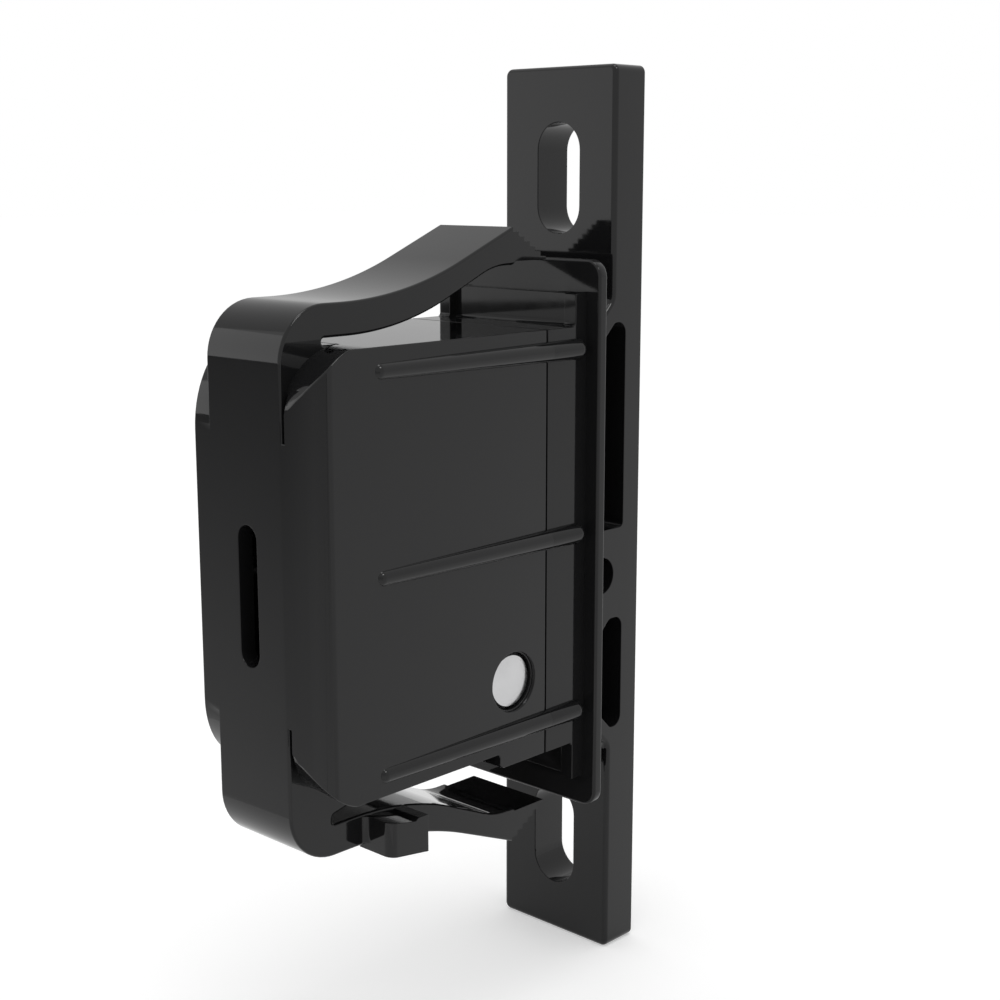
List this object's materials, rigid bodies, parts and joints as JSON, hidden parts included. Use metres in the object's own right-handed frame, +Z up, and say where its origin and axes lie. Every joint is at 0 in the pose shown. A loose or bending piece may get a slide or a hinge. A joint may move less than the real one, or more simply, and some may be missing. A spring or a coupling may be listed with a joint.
{
  "type": "push-to-close latch",
  "caption": "Snap-in push-to-close latch: a black moulded housing with barbed snap arms and a toggle claw, closed on a slotted keeper bar that carries the strike.",
  "frame": {"origin": "centre of the bezel at its seating plane, where the panel's face lies", "axes": "+X out of the panel towards the keeper, +Z up along the keeper bar, -X into the housing, -Y the side that the picture shows"},
  "size_m": [0.0492, 0.0234, 0.1],
  "materials": {
    "bezel_plastic": "smooth moulded, semi-gloss",
    "housing_plastic": "smooth moulded, semi-gloss",
    "arm_plastic": "smooth moulded, semi-gloss",
    "pin_steel": "turned, bright",
    "spacer_plastic": "natural moulded",
    "claw_steel": "sintered, oiled",
    "bush_bronze": "sintered",
    "spring_steel": "drawn wire",
    "rod_steel": "drawn, zinc plated",
    "dark_steel": "blackened",
    "keeper_plastic": "smooth moulded, semi-gloss",
    "strike_steel": "bead blasted"
  },
  "bodies": {
    "latch_body": {"bezel_frame": "bezel_plastic", "housing_cover": "housing_plastic", "pivot_pin": "pin_steel", "near_spacer": "spacer_plastic", "far_spacer": "spacer_plastic"},
    "upper_arm": {"upper_snap_arm": "arm_plastic"},
    "lower_arm": {"lower_snap_arm": "arm_plastic"},
    "claw_lever": {"claw": "claw_steel", "claw_bush": "bush_bronze", "toggle_pin": "pin_steel"},
    "strut_swivel": {"trunnion": "spacer_plastic", "toggle_spring": "spring_steel"},
    "strut_rod": {"spring_rod": "rod_steel", "spring_collar": "rod_steel", "rod_clip": "dark_steel"},
    "keeper": {"keeper_bar": "keeper_plastic", "strike_fork": "strike_steel", "strike_pin": "pin_steel", "retaining_pin": "dark_steel"}
  },
  "joints": [
    {"name": "keeper_slide", "type": "slide", "parent": "latch_body", "child": "keeper", "axis": [1, 0, 0], "range_m": [0, 0.0105]},
    {"name": "claw_turn", "type": "hinge", "parent": "latch_body", "child": "claw_lever", "pos_m": [-0.0111, 0, -0.0132], "axis": [0, 1, 0], "range_deg": [0, 42.05]},
    {"name": "strut_swing", "type": "hinge", "parent": "latch_body", "child": "strut_swivel", "pos_m": [-0.028, 0, 0.01], "axis": [0, -1, 0], "range_deg": [0, 21.05]},
    {"name": "rod_plunge", "type": "slide", "parent": "strut_swivel", "child": "strut_rod", "axis": [-0.4358, 0, 0.9], "range_m": [0, 0.0011], "stiffness_N_per_m": 3000, "deforming": ["toggle_spring"]},
    {"name": "upper_arm_flex", "type": "hinge", "parent": "latch_body", "child": "upper_arm", "pos_m": [-0.031, 0, 0.02528], "axis": [0, 1, 0], "range_deg": [0, 7], "stiffness_Nm_per_rad": 3},
    {"name": "lower_arm_flex", "type": "hinge", "parent": "latch_body", "child": "lower_arm", "pos_m": [-0.031, 0, -0.02558], "axis": [0, -1, 0], "range_deg": [0, 7], "stiffness_Nm_per_rad": 3}
  ],
  "couplings": [
    {"joint": "claw_turn", "follows": "keeper_slide", "rad_per_m": 69.813},
    {"joint": "strut_swing", "follows": "keeper_slide", "rad_per_m": 34.906}
  ]
}
